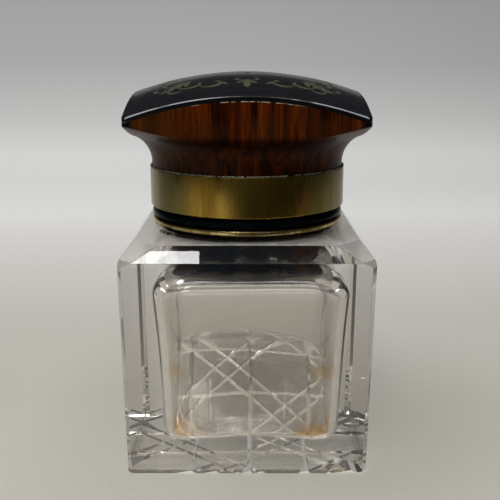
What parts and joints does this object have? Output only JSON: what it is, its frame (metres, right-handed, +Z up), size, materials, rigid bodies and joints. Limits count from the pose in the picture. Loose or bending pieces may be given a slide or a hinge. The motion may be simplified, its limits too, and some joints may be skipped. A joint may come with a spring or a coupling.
{
  "type": "desk inkwell",
  "caption": "Square cut-glass desk inkwell with a brass collar and a hinged, brass-inlaid wooden lid.",
  "frame": {"origin": "centre of the base, on the surface that the well stands on", "axes": "+Z up along the neck, front towards -Y, hinge at +Y"},
  "size_m": [0.06, 0.06, 0.096],
  "materials": {
    "glass": "clear cut crystal, polished",
    "cement": "dark crumbly bedding cement",
    "collar_brass": "worn, thinly tarnished",
    "bead_black": "polished black",
    "hinge_brass": "tarnished",
    "band_brass": "antique, olive-gold patina",
    "liner_brass": "dull, ink-stained",
    "rosewood": "french polished",
    "ebony": "french polished black",
    "inlay_brass": "engraved, dulled"
  },
  "bodies": {
    "well": {"glass_well": "glass", "neck_cement": "cement", "neck_collar": "collar_brass", "bead_ring": "bead_black", "collar_hinge_block": "hinge_brass", "hinge_pin": "hinge_brass"},
    "lid": {"lid_band": "band_brass", "lid_hinge_block": "hinge_brass", "lid_liner": "liner_brass", "liner_pins": "liner_brass", "lid_block": "rosewood", "lid_veneer": "ebony", "inlay_corner_sprays": "inlay_brass", "inlay_side_scrolls": "inlay_brass", "inlay_palmettes": "inlay_brass", "inlay_rosette": "inlay_brass"}
  },
  "joints": [
    {"name": "lid_hinge", "type": "hinge", "parent": "well", "child": "lid", "pos_m": [0, 0.0267, 0.06265], "axis": [-1, 0, 0], "range_deg": [0, 100]}
  ]
}
